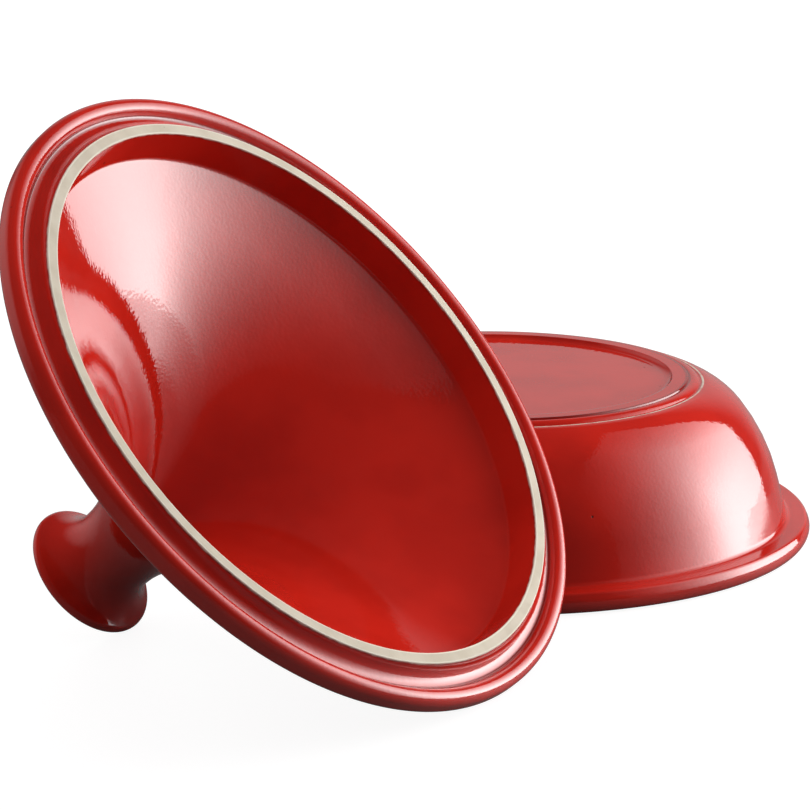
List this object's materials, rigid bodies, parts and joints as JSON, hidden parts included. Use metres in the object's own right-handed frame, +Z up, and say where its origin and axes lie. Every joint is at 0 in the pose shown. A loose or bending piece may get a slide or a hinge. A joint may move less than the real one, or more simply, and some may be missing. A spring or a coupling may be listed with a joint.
{
  "type": "tagine",
  "caption": "Red glazed stoneware tagine: a shallow round dish standing upside down and a conical knobbed lid lying beside it, mouth forward.",
  "frame": {"origin": "middle of the footprint of both pieces, on the surface they rest on", "axes": "+Z up, +Y from the lid towards the dish, +X to the right as seen from the lid's side"},
  "size_m": [0.3776, 0.5342, 0.245],
  "materials": {
    "dish_glaze": "glossy deep red glaze on stoneware",
    "lid_glaze": "glossy deep red glaze on stoneware, with a bare beige seat ring"
  },
  "bodies": {
    "root": {"dish": "dish_glaze", "lid": "lid_glaze"}
  },
  "joints": []
}
